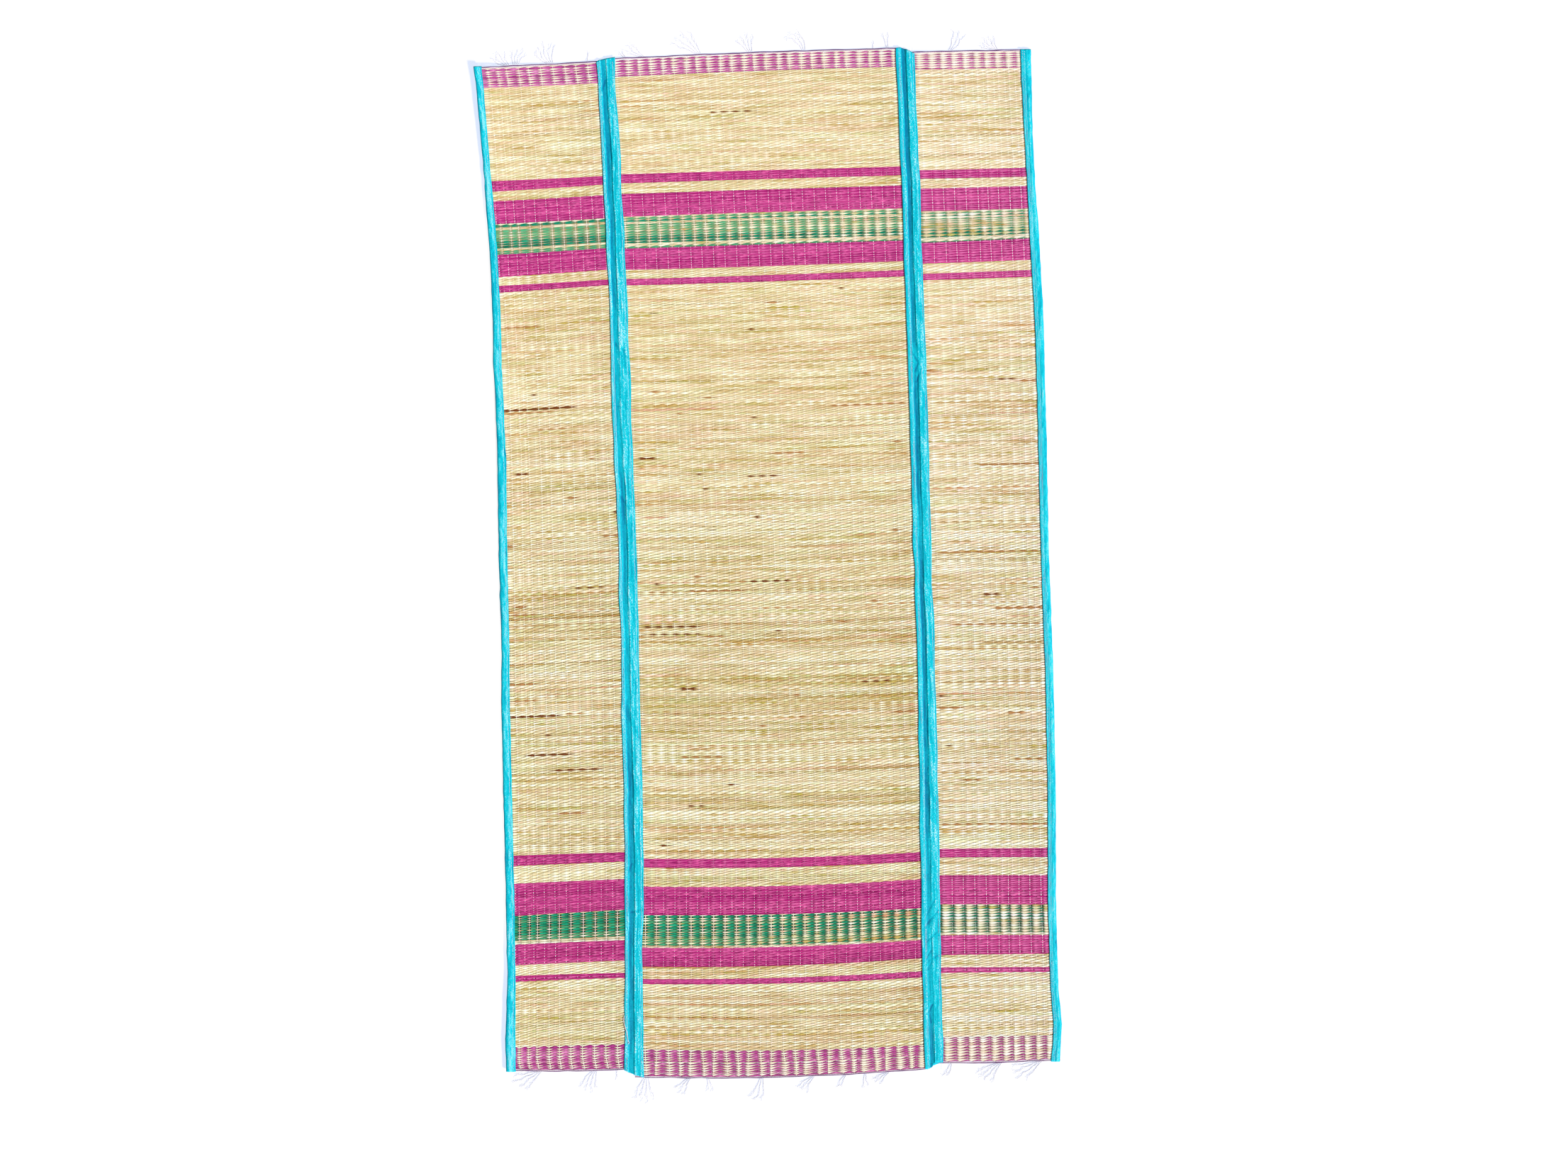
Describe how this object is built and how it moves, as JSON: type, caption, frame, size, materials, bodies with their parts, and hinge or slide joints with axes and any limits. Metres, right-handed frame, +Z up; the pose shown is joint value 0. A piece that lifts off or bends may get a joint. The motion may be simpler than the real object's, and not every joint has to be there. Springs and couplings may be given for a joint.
{
  "type": "grass sleeping mat",
  "caption": "Flat woven grass sleeping mat that folds in three, with dyed cross stripes, turquoise cloth hinge tapes and edge bindings, and loose thread tufts at its short ends.",
  "frame": {"origin": "on the floor, under the middle of the box of the mat and its tufts", "axes": "+X across the mat, +Y along it towards the end at the top of the picture, +Z up out of the floor"},
  "size_m": [1.0039, 1.9111, 0.0123],
  "materials": {
    "straw": "dry woven grass with a slight natural sheen",
    "cloth": "matt plain-weave cloth with light machine stitching",
    "thread": "matt twisted thread"
  },
  "bodies": {
    "root": {"panel_left": "straw", "panel_centre": "straw", "panel_right": "straw", "hinge_left": "cloth", "hinge_right": "cloth", "binding_left": "cloth", "binding_right": "cloth", "fringe_top_left": "thread", "fringe_top_centre": "thread", "fringe_top_right": "thread", "fringe_bottom_left": "thread", "fringe_bottom_centre": "thread", "fringe_bottom_right": "thread"}
  },
  "joints": []
}
